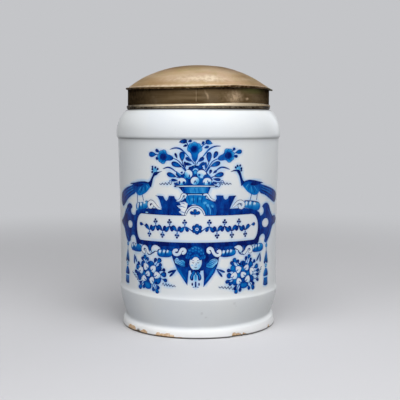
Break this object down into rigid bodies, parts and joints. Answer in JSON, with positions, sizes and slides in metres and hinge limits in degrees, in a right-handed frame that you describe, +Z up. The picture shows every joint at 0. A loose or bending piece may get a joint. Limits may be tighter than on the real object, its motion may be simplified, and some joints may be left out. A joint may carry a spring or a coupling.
{
  "type": "albarello",
  "caption": "Lidded cylindrical drug jar: white tin-glazed earthenware painted in cobalt blue, with a bevelled foot, ridge, rounded shoulder and a loose domed brass lid that lifts off the neck.",
  "frame": {"origin": "middle of the foot, on the surface that the jar stands on", "axes": "+Z up along the jar's axis of turning, -Y towards the painted front, +X to the right seen from the front"},
  "size_m": [0.1656, 0.1656, 0.26],
  "materials": {
    "glaze": "glossy white tin glaze, faintly blue, hand painted in cobalt blue",
    "brass_dome": "pale worn brass with blotchy patina",
    "brass_band": "dark brown tarnished brass",
    "brass_bead": "rubbed bright brass with dark creases",
    "solder": "dull grey soft solder"
  },
  "bodies": {
    "jar": {"jar_body": "glaze"},
    "lid": {"lid_dome": "brass_dome", "lid_band": "brass_band", "lid_bead": "brass_bead", "dome_solder": "solder"}
  },
  "joints": [
    {"name": "lid_lift", "type": "slide", "parent": "jar", "child": "lid", "axis": [0, 0, 1], "range_m": [0, 0.1]}
  ]
}
